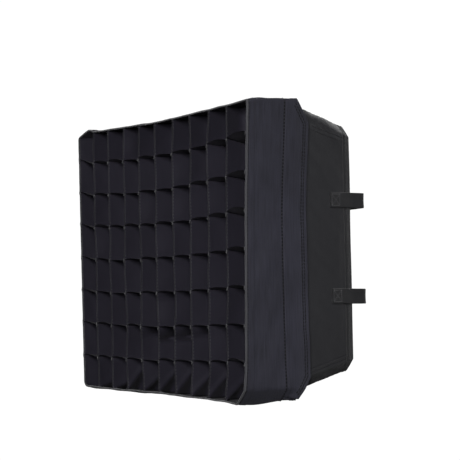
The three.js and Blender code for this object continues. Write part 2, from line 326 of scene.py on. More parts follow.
def wobble(u, v, seed, waves=7, reach=2.5):
    """Smooth seeded variation, mostly between -1 and 1, with up to `reach` waves per unit."""
    rng = np.random.default_rng(seed)
    total = np.zeros(np.broadcast(u, v).shape)
    for _ in range(waves):
        ku, kv, phase = rng.uniform(-reach, reach), rng.uniform(-reach, reach), rng.uniform(0, TAU)
        total += np.sin(TAU * (ku * u + kv * v) + phase)
    return total / math.sqrt(waves)


def lengths(points, axis):
    """Distance along one axis of a grid of points, from its first row."""
    steps = np.linalg.norm(np.diff(points, axis=axis), axis=-1)
    start = np.zeros_like(np.take(steps, [0], axis=axis))
    return np.concatenate([start, np.cumsum(steps, axis=axis)], axis=axis)


def signed_volume(vertices, faces):
    total = 0.0
    for corners in ((0, 1, 2), (0, 2, 3)):
        a, b, c = (vertices[faces[:, k]] for k in corners)
        total += np.einsum("ij,ij->i", a, np.cross(b, c)).sum()
    return total / 6


def add_mesh(name, vertices, faces, uvs, materials, face_materials=None):
    """A closed mesh of four-sided faces, with uvs[face, corner] in metres of cloth."""
    vertices, faces = np.asarray(vertices, float), np.asarray(faces)
    if signed_volume(vertices, faces) < 0:
        faces, uvs = faces[:, ::-1], uvs[:, ::-1]
    mesh = bpy.data.meshes.new(name)
    mesh.from_pydata(vertices.tolist(), [], faces.tolist())
    for material in materials:
        mesh.materials.append(MATERIALS[material])
    if face_materials is not None:
        mesh.polygons.foreach_set("material_index", np.asarray(face_materials, np.int32))
    mesh.uv_layers.new(name="cloth").data.foreach_set("uv", np.ascontiguousarray(uvs, np.float32).ravel())
    mesh.polygons.foreach_set("use_smooth", [True] * len(mesh.polygons))
    mesh.update()
    return add_object(name, mesh)


def grid_faces(rows, columns):
    i, j = np.meshgrid(np.arange(rows - 1), np.arange(columns - 1), indexing="ij")
    corner = (i * columns + j).ravel()
    return np.stack([corner, corner + 1, corner + columns + 1, corner + columns], 1)


def ring_piece(name, points, materials, row_materials=None):
    """A closed ring. points[k, n] is the k-th point of its cross-section at the n-th place round."""
    sections, places = points.shape[:2]
    i, j = (a.ravel() for a in np.meshgrid(np.arange(sections), np.arange(places), indexing="ij"))
    row, column = np.stack([i, i, i + 1, i + 1], 1), np.stack([j, j + 1, j + 1, j], 1)
    faces = (row % sections) * places + column % places
    around = lengths(np.concatenate([points, points[:, :1]], 1), 1).mean(0)
    across = lengths(np.concatenate([points, points[:1]], 0), 0).mean(1)
    uvs = np.stack([around[column], across[row]], -1)
    chosen = None if row_materials is None else np.asarray(row_materials)[i]
    return add_mesh(name, points.reshape(-1, 3), faces, uvs, materials, chosen)


def grid_normals(points):
    normal = np.cross(np.gradient(points, axis=1), np.gradient(points, axis=0))
    return normal / np.maximum(np.linalg.norm(normal, axis=-1, keepdims=True), 1e-12)


def sheet_piece(name, points, thickness, materials, face_materials=None, keep=None):
    """A closed sheet: points[i, j] is its middle surface and thickness its depth at each point.

    keep marks the faces of the grid that are cloth, where slots are cut out of it.
    """
    rows, columns = points.shape[:2]
    count = rows * columns
    offset = grid_normals(points) * (np.broadcast_to(thickness, (rows, columns)) / 2)[..., None]
    vertices = np.concatenate([(points + offset).reshape(-1, 3), (points - offset).reshape(-1, 3)])
    upper = grid_faces(rows, columns)
    chosen = np.zeros(len(upper), int) if face_materials is None else face_materials.ravel()
    if keep is not None:
        upper, chosen = upper[keep.ravel()], chosen[keep.ravel()]
    starts, ends = upper.ravel(), np.roll(upper, -1, axis=1).ravel()
    border = ~np.isin(starts * count + ends, ends * count + starts)
    a, b = starts[border], ends[border]
    rim = np.stack([b, a, a + count, b + count], 1)
    faces = np.concatenate([upper, (upper + count)[:, ::-1], rim])
    chosen = np.concatenate([chosen, chosen, np.repeat(chosen, 4)[border]])
    u, v = lengths(points, 1).mean(0), lengths(points, 0).mean(1)
    laid_out = np.stack(np.meshgrid(u, v), -1).reshape(-1, 2)
    uvs = laid_out[faces % count]
    used, packed = np.unique(faces, return_inverse=True)
    return add_mesh(name, vertices[used], packed.reshape(faces.shape), uvs, materials, chosen)


def resample(line, pitch):
    """Evenly spaced points along a line, with their directions and their places in it."""
    travelled = lengths(line, 0)
    count = max(int(travelled[-1] / pitch), 2)
    at = (np.arange(count) + 0.5) * travelled[-1] / count

    def point_at(distance):
        return np.stack([np.interp(distance, travelled, line[:, k]) for k in range(3)], 1)

    run = point_at(at + pitch / 4) - point_at(at - pitch / 4)
    run /= np.linalg.norm(run, axis=1, keepdims=True)
    return point_at(at), run, np.interp(at, travelled, np.arange(len(line)))


def dress(piece, nodes, body):
    """Hides the CAD nodes that a piece stands for, and hangs it on the body that carries it."""
    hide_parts(*nodes)
    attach(piece, body)


def names(start, ends=SIDES):
    return [f"{start}_{end}" for end in ends]


STITCH_PITCH = 3.3 * MM


def stitches(name, seams, thread, body, width, pitch=STITCH_PITCH, share=0.7):
    """Sewn stitches lying along seams, each a line of points and its cloth's outward normals."""
    sides = 6
    along, girth = np.array([-1, -0.8, 0, 0.8, 1]), np.array([0.3, 0.85, 1, 0.85, 0.3])
    angles = np.arange(sides) * TAU / sides
    patch = grid_faces(len(along), sides + 1)
    patch = patch // (sides + 1) * sides + patch % (sides + 1) % sides
    last = (len(along) - 1) * sides
    caps = np.array([[0, 5, 4, 3], [0, 3, 2, 1],
                     [last, last + 1, last + 2, last + 3], [last, last + 3, last + 4, last + 5]])
    patch = np.concatenate([patch, caps])
    vertices, faces = [], []
    for line, normal in seams:
        points, run, places = resample(line, pitch)
        lift = np.stack([np.interp(places, np.arange(len(normal)), normal[:, k]) for k in range(3)], 1)
        side = np.cross(run, lift)
        side /= np.linalg.norm(side, axis=1, keepdims=True)
        lift = np.cross(side, run)
        forward = (along * pitch * share / 2)[None, :, None, None] * run[:, None, None, :]
        around = (np.cos(angles)[None, :, None] * side[:, None, :]
                  + np.sin(angles)[None, :, None] * lift[:, None, :])
        ring = width * girth[None, :, None, None] * around[:, None, :, :]
        starts = sum(len(v) for v in vertices) + np.arange(len(points)) * sides * len(along)
        vertices.append((points[:, None, None, :] + forward + ring).reshape(-1, 3))
        faces.append((patch[None] + starts[:, None, None]).reshape(-1, 4))
    vertices, faces = np.concatenate(vertices), np.concatenate(faces)
    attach(add_mesh(name, vertices, faces, np.zeros((len(faces), 4, 2)), [thread]), body)


def closed(line):
    return np.r_[line, line[:1]]


ARC_STEPS = 8
FLAT_FROM, FLAT_FULL = 9 * MM, 11.9 * MM
FLATNESS = 0.9


def rounded_loop(half_x, half_z, radii, side_steps):
    """Points round a rounded rectangle, anticlockwise from the front, and their outward normals.

    radii are for the corners top right, top left, bottom left, bottom right. A radius of over
    FLAT_FROM starts to crease flat across its corner, and does so in full from FLAT_FULL.
    side_steps holds the steps along level and upright sides, or gives the places along a side.
    """
    places, normals, arcs = [], [], []
    corners = ((1, 1, 0), (-1, 1, 90), (-1, -1, 180), (1, -1, 270))
    t = np.linspace(0, 1, ARC_STEPS + 1)[:, None]
    for (sx, sz, turn), radius in zip(corners, radii):
        angle = np.radians(turn + np.linspace(0, 90, ARC_STEPS + 1))
        normal = np.stack([np.cos(angle), np.sin(angle)], 1)
        centre = np.array([sx * (half_x - radius), sz * (half_z - radius)])
        arc = radius * normal
        flat = FLATNESS * smoothstep(radius, FLAT_FROM, FLAT_FULL)
        arc = arc * (1 - flat) + (arc[0] * (1 - t) + arc[-1] * t) * flat
        arcs.append((centre + arc, normal))
    for k, (arc, normal) in enumerate(arcs):
        following = arcs[(k + 1) % 4][0][0]
        if callable(side_steps):
            t = side_steps(np.linalg.norm(following - arc[-1]), radii[k])
        else:
            t = np.arange(1, side_steps[k % 2]) / side_steps[k % 2]
        places += [arc, arc[-1] + (following - arc[-1]) * t[:, None]]
        normals += [normal, np.repeat(normal[-1:], len(t), 0)]
    return np.concatenate(places), np.concatenate(normals)


def wrap(section, sizes, radii, side_steps, push):
    """points[k, n] of a ring whose section is a list of (y, offset), with sizes(y) and radii(y).

    push(flat, y) gives how far its points stand proud, on top of the offset.
    """
    rows = []
    for y, offset in section:
        flat, normal = rounded_loop(*sizes(y), radii(y), side_steps)
        flat = flat + normal * (offset + push(flat, y))[:, None]
        rows.append(np.stack([flat[:, 0], np.full(len(flat), y), flat[:, 1]], 1))
    return np.array(rows)


def loop_seam(y, lift, sizes, radii, side_steps, push, shape):
    """A seam that runs all the way round a ring at one depth, shaped by hang or lift_body."""
    line = shape(wrap([(y, lift)], sizes, radii, side_steps, push))[0]
    _, flat = rounded_loop(*sizes(y), radii(y), side_steps)
    normal = np.stack([flat[:, 0], 0 * flat[:, 0], flat[:, 1]], 1)
    return closed(line), closed(normal)


# ---- how the limp grid hangs ----------------------------------------

TOP_EDGE = ((-180, -3), (-158, 3.4), (-153, 4.2), (-143, 0.8), (-60, -1), (-5, -3), (60, -2), (150, 0),
            (180, 1.5))
BOTTOM_EDGE = ((-180, 4.5), (-110, 3), (0, 3), (60, 1.5), (140, -0.5), (172, -3))
LEAN_RIGHT, LEAN_LEFT = 5 * MM, 3 * MM
FOOT_PULL = 4 * MM
SEAM_BOW = 2.5 * MM
WALL_BULGE = 1.2 * MM
ROOF_BULGE = 0.8 * MM
SEAM_RISE, SEAM_BACK = 4.8 * MM, 3.5 * MM
CURL_FRONT, CURL_REAR = 14 * MM, 12 * MM
TOP_TURN, RIGHT_TURN = 0.22, 0.24
TURN_FROM, TURN_TO = 22 * MM, 44 * MM
SEAM_REACH = 16 * MM
SAG_FRONT = 1.2 * MM


def hang(points):
    """Moves points of a perfectly square grid to where the real, limp one hangs."""
    x, y, z = points[..., 0], points[..., 1], points[..., 2]
    u, w = x / HALF_X, z / HALF_Z
    front = np.clip((SEAM_Y - y) / SKIRT_DEPTH, 0, 1)
    right = u > 0
    side = np.clip(np.abs(u), 0, 1)

    # The front leans over, and sags in its middle between firmer edges.
    lean = u * w * np.where(right, LEAN_RIGHT, LEAN_LEFT)
    pull = -FOOT_PULL * smoothstep(u, 0.1, 0.9) * smoothstep(-w, 0.75, 1)
    middle = (-2.3 - 2.0 * w) * MM
    at_wall = np.where(right, 1.5 + 3.5 * w, 4.5 + 2.5 * w) * MM
    sag = SAG_FRONT + (middle - SAG_FRONT) * np.cos(0.5 * math.pi * np.minimum(side / 0.8, 1))
    sag = sag + at_wall * smoothstep(side, 0.8, 1)
    to_top, to_bottom = smoothstep(w, 0.75, 1), smoothstep(-w, 0.75, 1)
    drop = (sag * (1 - to_top - to_bottom) + through(x, TOP_EDGE) * to_top
            + through(x, BOTTOM_EDGE) * to_bottom)

    # The top row and the last column turn to one side as they run back.
    deep = np.clip(y - FRONT_Y, 0, SKIRT_DEPTH)
    top_row = smoothstep(z, HALF_Z - 1.25 * CELL, HALF_Z - 0.7 * CELL) * (1 - smoothstep(side, 0.86, 1))
    last_column = np.clip(1 - np.abs(x - HALF_X + CELL) / CELL, 0, 1)
    turn = (TOP_TURN * top_row + RIGHT_TURN * last_column) * deep * (1 - smoothstep(deep, TURN_FROM, TURN_TO))

    # The walls bulge, the seam bows in, and the top right corner sits high and far back.
    belly = np.sin(math.pi * np.clip(front, 0, 1))
    out_x = np.sign(u) * side ** 10 * belly * WALL_BULGE * (1 - w * w)
    out_z = np.sign(w) * np.abs(w) ** 10 * belly * ROOF_BULGE
    rise = SEAM_RISE * (1 - front) * smoothstep(w, 0.4, 1) * smoothstep(u, 0.78, 1)
    bow = -SEAM_BOW * (1 - w * w) * np.clip(u, 0, 1) ** 10 * (1 - front)
    at_seam = np.exp(-((np.minimum(y, SEAM_Y) - SEAM_Y) / SEAM_REACH) ** 2)
    back = (1.6 * MM * front + SEAM_BACK * at_seam) * smoothstep(w, 0.2, 1) * np.clip(u, 0, 1) ** 10
    lifted = z + front * drop + out_z + rise
    return np.stack([x + front * (lean + pull) + out_x - turn, y + bow + back, lifted], -1)


# ---- the grid's skirt -----------------------------------------------

SKIRT_STEPS = (110, 88)
BEAD = 0.82 * MM
EDGE_SEAM, EDGE_FOLD = 2.8 * MM, 10 * MM


def skirt_radii(y):
    front = np.clip((SEAM_Y - y) / SKIRT_DEPTH, 0, 1)
    curl = CURL_REAR + (CURL_FRONT - CURL_REAR) * front
    return 2.5 * MM, 3 * MM, (3 + 4 * front) * MM, curl


def skirt_wrinkle(flat, y):
    """Slight pull lines running back from the folded edge, and soft waves in the nylon."""
    place = lengths(flat, 0)
    depth = (y - FRONT_Y) / SKIRT_DEPTH
    fade = math.sin(math.pi * min(max(depth, 0), 1)) ** 0.5
    soft = wobble(place * 9, depth * 0.8, 31) * 0.45 * MM
    fine = wobble(place * 60, depth * 0.5, 32, reach=1.5) * 0.12 * MM
    edge = wobble(place * 26, 0.3, 33, reach=1.5) * 0.3 * MM
    level = np.abs(flat[:, 1]) > HALF_Z - 1 * MM
    roll = 0.4 * MM * level * smoothstep(depth, 0.03, 0.09)
    near = (flat[:, 1] + HALF_Z + 0.5 * CELL) % CELL - 0.5 * CELL
    side = (flat[:, 0] < -HALF_X + 1 * MM) & (np.abs(flat[:, 1]) < HALF_Z - 0.5 * CELL)
    sewn = 1.3 * MM * side * np.exp(-(near / (1.6 * MM)) ** 2) * (1 - smoothstep(depth, 0.06, 0.3))
    return (soft + fine + roll) * fade + edge * (1 - smoothstep(depth, 0.0, 0.12)) + sewn


def skirt_sizes(_):
    return HALF_X, HALF_Z


def build_skirt():
    """The four walls as one loop, folded in and stitched at the front edge."""
    back = SEAM_Y - 0.3 * MM
    deep = np.concatenate([np.linspace(back - 0.4 * MM, back - 3 * MM, 4),
                           np.linspace(back - 5 * MM, FRONT_Y + 12 * MM, 12),
                           [FRONT_Y + d * MM for d in (10.5, 10, 9.5, 8, 6, 4.6, 3.6, 3.2, 2.8, 2.0)]])
    fold = FRONT_Y + EDGE_FOLD
    hem = 0.35 * MM * (1 - smoothstep(deep, fold - 0.4 * MM, fold + 0.4 * MM))
    pressed = -0.35 * MM * np.exp(-((deep - FRONT_Y - EDGE_SEAM) / (0.7 * MM)) ** 2)
    angles = np.radians(np.linspace(65, 295, 9))
    middle = -CLOTH / 2 + 0.1 * MM
    outer = list(zip(deep, hem + pressed))
    bead = [(FRONT_Y + BEAD + BEAD * math.cos(a), middle + 1.05 * BEAD * math.sin(a)) for a in angles]
    inner = [(y, -CLOTH + 0.1 * MM) for y in deep[::-1]]
    ends = [(back, -0.75 * CLOTH), (back, -0.25 * CLOTH)]
    section = outer + bead + inner + ends
    # The bead rows take the lighter edge material, a painted highlight along the folded front edge.
    rows = [0] * (len(outer) - 1) + [1] * (len(bead) + 1) + [2] * (len(inner) - 1) + [0] * (len(ends) + 1)
    shape = (skirt_sizes, skirt_radii, SKIRT_STEPS, skirt_wrinkle)
    skirt = ring_piece("skirt", hang(wrap(section, *shape)), ["skirt", "edge", "strip"], rows)
    dress(skirt, names("skirt"), "grid")
    for label, y, lift in (("edge", FRONT_Y + EDGE_SEAM, -0.1 * MM), ("seam", SEAM_Y - 0.9 * MM, 0.02 * MM)):
        stitches(f"skirt_{label}_stitches", [loop_seam(y, lift, *shape, hang)], "dark_thread", "grid",
                 0.7 * MM)


# ---- the strips that cross in slots ---------------------------------

SLOT = 0.6 * MM
STRIP_DEPTH = STRIP_REAR - STRIP_FRONT
SLOT_DEPTH = STRIP_DEPTH / 2
CELL_STEPS = 14
FOLD_DEEP, ARCH_DEEP = 21 * MM, 12 * MM
STRAIGHT_FROM, STRAIGHT_TO = 24 * MM, 42 * MM
random_nodes = np.random.default_rng(8)
NODE_SHIFT = random_nodes.normal(0, 0.9 * MM, (COLUMNS + 1, ROWS + 1))
NODE_SHIFT[[0, -1]] = 0
BELLY = random_nodes.normal(0, 0.6 * MM, (COLUMNS + 1, ROWS + 1))
ARCH = np.abs(random_nodes.normal(3.4 * MM, 1.0 * MM, (COLUMNS, ROWS + 1)))
ARCH[0] *= 0.4
ARCH[-1] += 1.4 * MM
LEAN_BACK = random_nodes.normal(0, 1.2 * MM, (COLUMNS + 1, ROWS + 1))
FOLD = random_nodes.uniform(17, 22, COLUMNS + 1) * MM
FOLD_HIGH = random_nodes.uniform(17, 26, COLUMNS + 1) * MM
FOLD_HIGH[[1, 2]] = 9 * MM

# Cells whose upper part is pushed back, as {(upright, row): (depth in mm, where it starts)}.
TUCKS = {(4, 1): (12, 0.70), (5, 1): (22, 0.58), (6, 1): (20, 0.62), (7, 1): (12, 0.72), (5, 2): (8, 0.82),
         (6, 2): (5, 0.86), (3, 2): (5, 0.86), (2, 1): (6, 0.86), (3, 1): (6, 0.84), (8, 5): (4, 0.88)}


def strip_samples(cells, half):
    """Places along a strip, with a pair either side of each crossing, and which gaps are slots."""
    places, slots = [-half], []
    for cell in range(cells):
        low, high = -half + CELL * cell, -half + CELL * (cell + 1)
        if cell:
            low += SLOT
            slots.append(len(places) - 1)
            places.append(low)
        high -= SLOT if cell < cells - 1 else 0
        places += list(np.linspace(low, high, CELL_STEPS + 1)[1:])
    return np.array(places), slots


def depth_samples():
    fine = np.array([0, 0.35, 0.8, 1.4, 2.6, 4.5]) * MM
    return np.concatenate([fine, np.linspace(7 * MM, SLOT_DEPTH, 7),
                           np.linspace(SLOT_DEPTH, STRIP_DEPTH, 8)[1:]])


def between(values, cell):
    """Values at crossings, joined smoothly along a strip. cell runs from 0 at one wall."""
    low = np.clip(np.floor(cell).astype(int), 0, len(values) - 2)
    t = smoothstep(cell - low, 0, 1)
    return values[low] * (1 - t) + values[low + 1] * t


def strip_grid(places, depths, half, cells):
    """Places along a strip and depths into it, and the places counted in cells.

    Then which cell each is in, and how far through it and through the strip's depth, from 0 to 1.
    """
    along, q = np.meshgrid(places, depths)
    count = (along + half) / CELL
    cell = np.clip(count.astype(int), 0, cells - 1)
    return along, q, count, cell, np.clip(count - cell, 0, 1), q / STRIP_DEPTH


def upright_points(column, places, depths):
    z, q, count, row, t, inward = strip_grid(places, depths, HALF_Z, ROWS)
    shift = between(NODE_SHIFT[column], count) * (1 - inward)
    bow = BELLY[column][row] * np.sin(math.pi * t) * (1 - 0.6 * inward)
    twist = LEAN_BACK[column][row] * np.sin(math.pi * t) * np.sin(math.pi * np.clip(inward * 1.4, 0, 1))
    over = q / FOLD_DEEP - (z + HALF_Z) / FOLD_HIGH[column]
    crease = 0.5 * (over + np.sqrt(over * over + 0.008))
    shallow = 1 - smoothstep(q, STRAIGHT_FROM, STRAIGHT_TO)
    ridge = 1.6 * MM * np.exp(-((over + 0.12) / 0.13) ** 2) * smoothstep(q, 0, 4 * MM)
    fold = (ridge - FOLD[column] * crease) * shallow * (1 - smoothstep(count, 0.8, 1))
    tuck = sum(depth * MM * smoothstep(t, edge, edge + 0.05) * np.clip((0.98 - t) / (0.98 - edge), 0, 1)
               * (row == place) * np.clip(q / FOLD_DEEP, 0, 1) * shallow
               for (line, place), (depth, edge) in TUCKS.items() if line == column)
    x = -HALF_X + CELL * column + shift + bow + twist + fold - tuck
    return hang(np.stack([x, STRIP_FRONT + q, z], -1))


def level_points(level, places, depths):
    x, q, count, column, t, inward = strip_grid(places, depths, HALF_X, COLUMNS)
    crown = np.sin(math.pi * t ** 0.8) ** 0.45 * (1 - 0.35 * t)
    arch = ARCH[column, level] * crown * np.exp(-(q / ARCH_DEEP) ** 1.5)
    slide = between(NODE_SHIFT[:, level], count) * (1 - inward)
    z = -HALF_Z + CELL * level + arch
    return hang(np.stack([x + slide, STRIP_FRONT + q, z], -1))


def build_strip(name, shape, cells, half, depths, front_slots, hemmed):
    """One strip, with its slots cut from its front or its rear. Returns its middle surface."""
    places, slots = strip_samples(cells, half)
    half -= CLOTH + 0.1 * MM
    points = shape(np.clip(places, -half, half), depths)
    keep = np.ones((points.shape[0] - 1, points.shape[1] - 1), bool)
    in_front = depths[:-1] < SLOT_DEPTH - 1e-9
    for slot in slots:
        keep[:, slot] = ~in_front if front_slots else in_front
    edge = np.zeros(keep.shape, int)
    edge[depths[:-1] < 0.79 * MM] = hemmed
    hem = np.where((depths < 0.9 * MM) & hemmed, 0.5 * STRIP_THICK, 0.45 * STRIP_THICK)[:, None]
    piece = sheet_piece(f"{name}_cloth", points, hem, ["strip", "strip_edge"], edge, keep)
    dress(piece, [name], "grid")
    return points


def build_strips():
    depths = depth_samples()
    row = int(np.searchsorted(depths, 1.0 * MM))
    seams = []
    for column in range(1, COLUMNS):
        points = build_strip(f"grid_upright_{column}", partial(upright_points, column), ROWS, HALF_Z,
                             depths, False, True)
        normal = grid_normals(points)[row]
        for side in (1, -1):
            seams.append((points[row] + side * normal * 0.24 * MM, normal * side))
    for level in range(1, ROWS):
        build_strip(f"grid_level_{level}", partial(level_points, level), COLUMNS, HALF_X,
                    depths, True, False)
    stitches("strip_edge_stitches", seams, "light_thread", "grid", 0.18 * MM, share=0.6)


def build_knots():
    """Bar tacks over the front of each crossing, and where each level strip meets a side wall."""
    rng = np.random.default_rng(5)
    upright, level_tack = np.array([0.3 * MM, 0, 1.7 * MM]), np.array([1.5 * MM, 0, 0.5 * MM])
    seams = []
    for column in range(COLUMNS + 1):
        for level in range(1, ROWS):
            inset = (CLOTH + 0.6 * MM) * ((column == 0) - (column == COLUMNS))
            x = -HALF_X + CELL * column + inset + NODE_SHIFT[column, level]
            z = -HALF_Z + CELL * level
            for across in (upright, level_tack, upright):
                jitter = rng.normal(0, 0.35 * MM, 2)
                middle = np.array([x + jitter[0], STRIP_FRONT - 0.25 * MM, z + jitter[1]])
                line = hang(np.stack([middle - across, middle, middle + across]))
                seams.append((line, np.tile([0, -1.0, 0], (3, 1))))
    stitches("crossing_tacks", seams, "light_thread", "grid", 0.28 * MM, 1.6 * MM, 1.1)


# ---- flaps ----------------------------------------------------------

TURNS = {side: turn for turn, side in enumerate(SIDES)}
CHAMFER_ALONG, CHAMFER_DEEP = 22 * MM, 13.5 * MM
FLAP_HEM, FLAP_STITCHES = (6.2 * MM, 7.2 * MM), (5.9 * MM, 3.6 * MM)
LEVEL = ("top", "bottom")

# How far, in mm, each flap runs on past its CAD solid's ends. The right one covers the curled corner.
FLAP_ENDS = {"top": (0, 0), "right": (1.4, 1.4), "bottom": (-7, 0), "left": (0, 0)}


def place_on_side(side, along, y, height):
    """A point drawn for the top side, turned to its side. along runs to the right on the top."""
    turned = {"top": (along, height), "right": (height, -along),
              "bottom": (-along, -height), "left": (-height, along)}
    x, z = turned[side]
    return np.stack([x, np.broadcast_to(y, np.shape(x)), z], -1)


def curl_foot(points):
    """Bends the cloth at the bottom right corner round the curl of the skirt behind its seam."""
    x, y, z = points[..., 0], points[..., 1], points[..., 2]
    centre = np.array([HALF_X - CURL_REAR, -HALF_Z + CURL_REAR])
    on_side = (x > HALF_X - 3 * MM) & (z < centre[1])
    on_foot = (z < -HALF_Z + 3 * MM) & (x > centre[0]) & ~on_side

    def curled(run, height):
        """Where cloth gets to that runs on past the corner's start, as steps across and along."""
        angle, slant = run / CURL_REAR, math.sqrt(0.5)
        arc = np.stack([height * np.cos(angle), height * np.sin(angle)])
        past = height - CURL_REAR
        flat = np.stack([CURL_REAR + (past - run) * slant, (past + run) * slant])
        return arc * (1 - FLATNESS) + flat * FLATNESS

    across, down = curled(centre[1] - z, x - centre[0])
    down_foot, across_foot = curled(x - centre[0], centre[1] - z)
    x_new = np.where(on_side, centre[0] + across, np.where(on_foot, centre[0] + across_foot, x))
    z_new = np.where(on_side, centre[1] - down, np.where(on_foot, centre[1] - down_foot, z))
    curl = 1 - 0.65 * smoothstep(y, SEAM_Y, SEAM_Y + CHAMFER_DEEP)
    return np.stack([x + (x_new - x) * curl, y, z + (z_new - z) * curl], -1)


def flap_wave(side, along, y, front, rear):
    """How far a flap's limp cloth stands off what it lies on, more towards its free edge."""
    wave = 0.5 * MM * (1 + wobble(along * 11, y * 4, 60 + TURNS[side]))
    return np.clip(wave * smoothstep(y, front, rear), 0, None)


def build_flap(side):
    """A limp flap with cut-back corners and a hem that is stitched twice."""
    low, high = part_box(f"flap_{side}")
    half, outer = (high.x, HALF_Z) if side in LEVEL else (high.z, HALF_X)
    front, rear = low.y, high.y
    near, far = (half + extra * MM for extra in FLAP_ENDS[side])
    depths = np.concatenate([np.linspace(front, rear - CHAMFER_DEEP, 8)[:-1],
                             np.linspace(rear - CHAMFER_DEEP, rear - 0.5 * MM, 18), [rear]])
    share = np.concatenate([np.linspace(-1, -0.86, 14)[:-1], np.linspace(-0.86, 0.86, 110),
                            np.linspace(0.86, 1, 14)[1:]])
    cut = CHAMFER_ALONG * np.clip((depths - (rear - CHAMFER_DEEP)) / CHAMFER_DEEP, 0, 1)
    s, y = np.meshgrid(share, depths)
    end = np.where(s > 0, far, near)
    along = s * (end - cut[:, None])
    from_rear = rear - y
    from_chamfer = (end - np.abs(along) - (CHAMFER_ALONG * (1 - from_rear / CHAMFER_DEEP))) * 0.52
    edge = np.minimum(from_rear, np.where(from_rear < 1.6 * CHAMFER_DEEP, from_chamfer, 1))
    hem = 0.5 * MM * (1 - smoothstep(edge, *FLAP_HEM))
    groove = sum(-0.55 * MM * np.exp(-((edge - d) / (0.7 * MM)) ** 2) for d in FLAP_STITCHES)
    lift = flap_wave(side, along, y, front, rear) + 0.5 * (hem + groove)
    points = hang(curl_foot(place_on_side(side, along, y, outer - CLOTH / 2 + lift)))
    flap = sheet_piece(f"flap_{side}_cloth", points, CLOTH + hem, ["skirt"])
    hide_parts(f"flap_{side}")
    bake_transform(flap)

    seams = []
    slope = CHAMFER_ALONG / CHAMFER_DEEP
    for inset in FLAP_STITCHES:
        y_line = rear - inset
        path = []
        for sign, end in ((-1, near), (1, far)):
            straight = end - CHAMFER_ALONG - 0.25 * inset
            reach = min(straight + (y_line - front - 2.5 * MM) * slope, end - inset)
            corner = [(sign * straight, y_line), (sign * reach, y_line - (reach - straight) / slope)]
            path += corner if sign > 0 else corner[::-1]
        along, y = np.concatenate([np.linspace(a, b, 40)[:-1] for a, b in zip(path, path[1:])]).T
        height = outer + flap_wave(side, along, y, front, rear) + 0.12 * MM
        line, above = (hang(curl_foot(place_on_side(side, along, y, h))) for h in (height, height + MM))
        seams.append((line, (above - line) / MM))
    stitches(f"flap_{side}_stitches", seams, "dark_thread", f"flap_{side}", 0.7 * MM, share=0.85)


# ---- the softbox's own body -----------------------------------------


def body_profile(at_rim, at_board, at_hem):
    """A size at the rim, the boards' front and, past the hem's front, the rear opening."""
    past = (REAR_Y - HEM_LOW.y) / (HEM_LOW.y - BOARD_LOW.y)
    return (at_rim, at_board, at_hem + (at_hem - at_board) * past)


HEM_HALF = (HEM_HIGH.z - HEM_LOW.z) / 2
BODY_Y = (RIM_Y, BOARD_LOW.y, REAR_Y)
BODY_X = body_profile(RIM_X, BOARD_HIGH.x + BOARD_UNDER, HEM_HIGH.x)
BODY_Z = body_profile(RIM_Z, (BOARD_HIGH.z - BOARD_LOW.z) / 2 + BOARD_INSET, HEM_HALF)
BODY_MIDDLE = body_profile(0, (BOARD_HIGH.z + BOARD_LOW.z) / 2, (HEM_HIGH.z + HEM_LOW.z) / 2)
BODY_END = HEM_LOW.y - 0.3 * MM
RIM_RADII = (4 * MM, 4 * MM, 5 * MM, 13 * MM)
REAR_RADIUS = 12 * MM

# How far the shell is full along its top, as pairs of depth and height in mm.
TOP_FULL = ((-94, 0), (-76, 0), (-62, 1.6), (0, 1.2))

# Depths between which the shell's rim band ends, its boards start and its hem starts.
BAND_END, BOARD_START, HEM_START = (-0.088, -0.078), (-0.071, -0.060), (-0.020, -0.010)


def body_sizes(y):
    return np.interp(y, BODY_Y, BODY_X), np.interp(y, BODY_Y, BODY_Z)


def lift_body(points, full=False):
    """Raises points to the body's middle at their depth, and into the grid's raised corner.

    With full, the cloth is also full along its top.
    """
    x, y, z = points[..., 0], points[..., 1], points[..., 2]
    rise = np.interp(y, BODY_Y, BODY_MIDDLE)
    under_seam = smoothstep(x, 0.78 * RIM_X, RIM_X) * smoothstep(z, 0.4 * RIM_Z, RIM_Z)
    at_rim = 1 - smoothstep(y, RIM_Y + 6 * MM, FLAP_Y - 2 * MM)
    rise = rise + SEAM_RISE * under_seam * at_rim
    back = SEAM_BACK * at_rim * smoothstep(z, 0.2 * RIM_Z, RIM_Z) * np.clip(x / RIM_X, 0, 1) ** 10
    if full:
        rise = rise + through(y, TOP_FULL) * smoothstep(z, 0.3 * RIM_Z, 0.9 * RIM_Z)
    return np.stack([x, y + back, z + rise], -1)


def body_radii(y):
    share = np.clip((y - RIM_Y) / (REAR_Y - RIM_Y), 0, 1)
    return tuple(front + (REAR_RADIUS - front) * share for front in RIM_RADII)


def body_fractions(length, radius):
    """Places along one straight side, close together at the seams beside the corners."""
    seam = CORNER_WIDTH - radius
    near = seam + np.array([-1.5, -0.9, -0.4, 0, 0.4, 0.9, 1.5]) * MM
    near = np.concatenate([[0.5 * near[0]], near])
    middle = np.linspace(near[-1], length - near[-1], 60)[1:-1]
    return np.concatenate([near, middle, (length - near)[::-1]]) / length


def profile(start, *pairs):
    """Part of a ring's section, from pairs of depth and lift in mm, with depths from start."""
    return [(start + y * MM, lift * MM) for y, lift in pairs]


